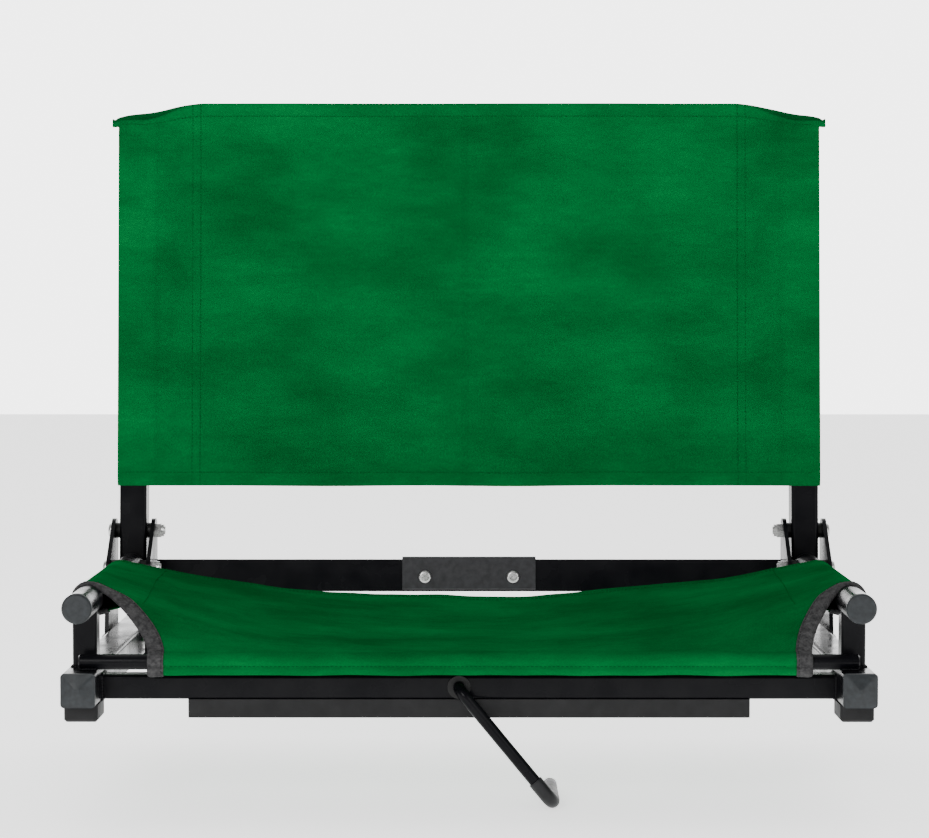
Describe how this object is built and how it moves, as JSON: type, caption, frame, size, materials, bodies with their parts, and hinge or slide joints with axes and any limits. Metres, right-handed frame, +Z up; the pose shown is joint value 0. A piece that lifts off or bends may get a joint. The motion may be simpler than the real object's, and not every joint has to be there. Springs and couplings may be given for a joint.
{
  "type": "folding stadium chair",
  "caption": "Low folding bleacher chair: tube frame with canvas seat and back, a back that folds forward, rubber feet and a swivelling hook that holds it to a bench plank.",
  "frame": {"origin": "on the plank's top face, under the middle of the grip strip's underside", "axes": "+X to the right as seen from in front, +Y to the back of the chair, +Z up"},
  "size_m": [0.5384, 0.328, 0.4782],
  "materials": {
    "black_metal": "glossy black powder coat",
    "charcoal_metal": "charcoal powder coat",
    "zinc": "zinc plated",
    "cap_plastic": "moulded dark grey plastic",
    "black_plastic": "moulded black nylon",
    "rubber": "matte black rubber",
    "vinyl": "dipped grey vinyl",
    "canvas": "green polyester canvas"
  },
  "bodies": {
    "base": {"base_plug_front_left": "cap_plastic", "base_plug_front_right": "cap_plastic", "base_plug_rear_left": "cap_plastic", "base_plug_rear_right": "cap_plastic", "base_tube_left": "black_metal", "base_tube_right": "black_metal", "bracket_bolts": "zinc", "bracket_inner_left": "black_metal", "bracket_inner_right": "black_metal", "bracket_nuts": "zinc", "bracket_outer_left": "black_metal", "bracket_outer_right": "black_metal", "bracket_washers": "zinc", "foot_front_left": "rubber", "foot_front_right": "rubber", "foot_rear_left": "rubber", "foot_rear_right": "rubber", "foot_screws": "zinc", "front_crossbar": "black_metal", "front_post_left": "black_metal", "front_post_right": "black_metal", "grip_strip": "rubber", "hem_rod": "black_metal", "hook_bush": "black_plastic", "pivot_bolts": "zinc", "pivot_nuts": "zinc", "pivot_spacers": "black_plastic", "rail_bolts": "zinc", "rail_cap_left": "cap_plastic", "rail_cap_right": "cap_plastic", "rail_nuts": "zinc", "rail_plug_left": "cap_plastic", "rail_plug_right": "cap_plastic", "rail_spacers": "black_plastic", "rear_crossbar": "black_metal", "seat_sling": "canvas", "side_rail_left": "black_metal", "side_rail_right": "black_metal", "stop_pins": "black_metal"},
    "back": {"back_crossbar": "black_metal", "back_post_left": "black_metal", "back_post_right": "black_metal", "back_sling": "canvas", "crossbar_rivets": "zinc", "post_cap_left": "cap_plastic", "post_cap_right": "cap_plastic", "post_plug_left": "cap_plastic", "post_plug_right": "cap_plastic", "saddle_nuts": "zinc", "saddle_plate": "charcoal_metal", "saddle_screws": "zinc"},
    "hook": {"hook_disc_springs": "zinc", "hook_nut": "zinc", "hook_rod": "black_metal", "hook_sleeve": "vinyl", "hook_washers": "zinc"}
  },
  "joints": [
    {"name": "back_fold", "type": "hinge", "parent": "base", "child": "back", "pos_m": [0, 0.248, 0.1], "axis": [1, 0, 0], "range_deg": [0, 93]},
    {"name": "hook_swing", "type": "hinge", "parent": "base", "child": "hook", "pos_m": [-0.0065, 0, 0.02], "axis": [0, 1, 0], "range_deg": [-33, 112]}
  ]
}
